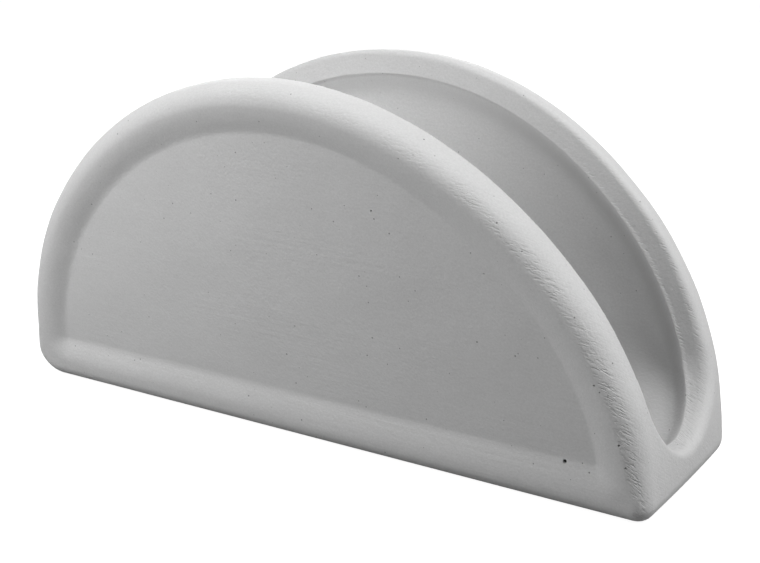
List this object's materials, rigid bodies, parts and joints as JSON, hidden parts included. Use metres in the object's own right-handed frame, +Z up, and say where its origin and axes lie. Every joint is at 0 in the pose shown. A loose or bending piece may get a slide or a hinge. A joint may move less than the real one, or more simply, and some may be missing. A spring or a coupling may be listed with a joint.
{
  "type": "napkin holder",
  "caption": "Free-standing half-moon napkin holder in unglazed fired clay, with two outward-leaning rimmed walls joined by a trough floor that is open at both ends",
  "frame": {"origin": "middle of the resting face on the table", "axes": "+X along the length of the slot, +Y from the front wall to the back wall, +Z up"},
  "size_m": [0.1656, 0.0594, 0.0803],
  "materials": {
    "bisque_front": "matte unglazed bisque with fine grain and fettling marks",
    "bisque_back": "matte unglazed bisque with fine grain and fettling marks",
    "bisque_base": "matte unglazed bisque with sponged end faces"
  },
  "bodies": {
    "root": {"front_panel": "bisque_front", "back_panel": "bisque_back", "base": "bisque_base"}
  },
  "joints": []
}
